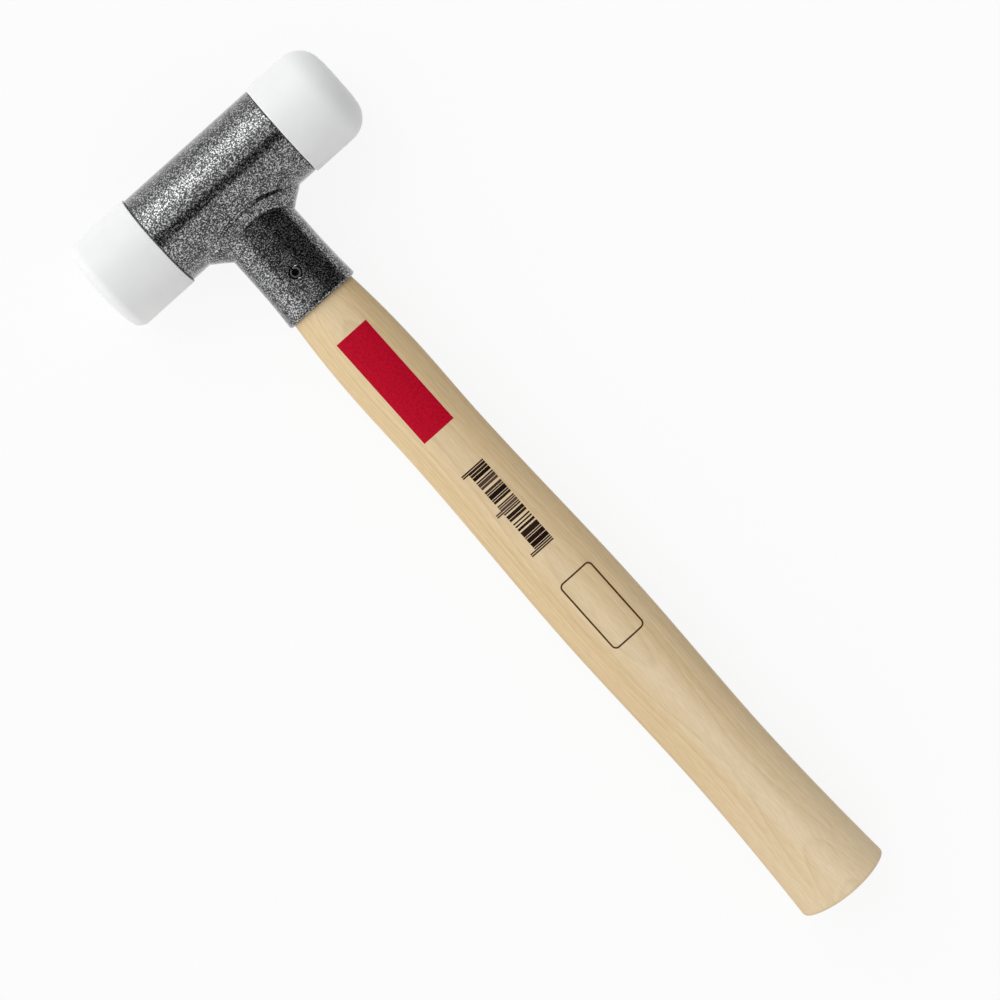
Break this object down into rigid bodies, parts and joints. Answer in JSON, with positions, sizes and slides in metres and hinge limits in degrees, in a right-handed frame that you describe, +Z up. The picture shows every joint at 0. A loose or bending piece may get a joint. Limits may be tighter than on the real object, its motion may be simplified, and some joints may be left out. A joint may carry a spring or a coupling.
{
  "type": "dead blow hammer",
  "caption": "Soft-face dead blow hammer: steel tube head with loose shot sealed inside, pressed nylon faces, and a hickory handle pinned into an oval flared socket.",
  "frame": {"origin": "centre of the hammer's box, on the surface that it lies on", "axes": "+X along the head towards the rounded face, +Y along the handle from butt to head, +Z up, square to the head and within about one degree of square to the handle"},
  "size_m": [0.1032, 0.3268, 0.035],
  "materials": {
    "hammertone_paint": "dark hammertone paint with silver speckle, half gloss",
    "white_nylon": "satin white nylon, slightly translucent",
    "hickory": "pale hickory, fine grain along the handle, satin",
    "spring_steel": "dark oiled spring steel",
    "plain_steel": "plain steel, not seen from outside"
  },
  "bodies": {
    "hammer": {"head_tube": "hammertone_paint", "handle_socket": "hammertone_paint", "striking_face_flat": "white_nylon", "striking_face_round": "white_nylon", "handle": "hickory", "handle_pin": "spring_steel", "chamber_plug_left": "plain_steel", "chamber_plug_right": "plain_steel"},
    "shot_charge": {"shot_ball_01": "plain_steel", "shot_ball_02": "plain_steel", "shot_ball_03": "plain_steel", "shot_ball_04": "plain_steel", "shot_ball_05": "plain_steel", "shot_ball_06": "plain_steel", "shot_ball_07": "plain_steel", "shot_ball_08": "plain_steel", "shot_ball_09": "plain_steel", "shot_ball_10": "plain_steel", "shot_ball_11": "plain_steel", "shot_ball_12": "plain_steel", "shot_ball_13": "plain_steel", "shot_ball_14": "plain_steel", "shot_ball_15": "plain_steel", "shot_ball_16": "plain_steel", "shot_ball_17": "plain_steel", "shot_ball_18": "plain_steel", "shot_ball_19": "plain_steel", "shot_ball_20": "plain_steel", "shot_ball_21": "plain_steel", "shot_ball_22": "plain_steel", "shot_ball_23": "plain_steel", "shot_ball_24": "plain_steel", "shot_ball_25": "plain_steel", "shot_ball_26": "plain_steel", "shot_ball_27": "plain_steel", "shot_ball_28": "plain_steel", "shot_ball_29": "plain_steel", "shot_ball_30": "plain_steel", "shot_ball_31": "plain_steel", "shot_ball_32": "plain_steel", "shot_ball_33": "plain_steel", "shot_ball_34": "plain_steel", "shot_ball_35": "plain_steel", "shot_ball_36": "plain_steel"}
  },
  "joints": [
    {"name": "shot_slide", "type": "slide", "parent": "hammer", "child": "shot_charge", "axis": [1, 0, 0], "range_m": [-0.004, 0.004]}
  ]
}
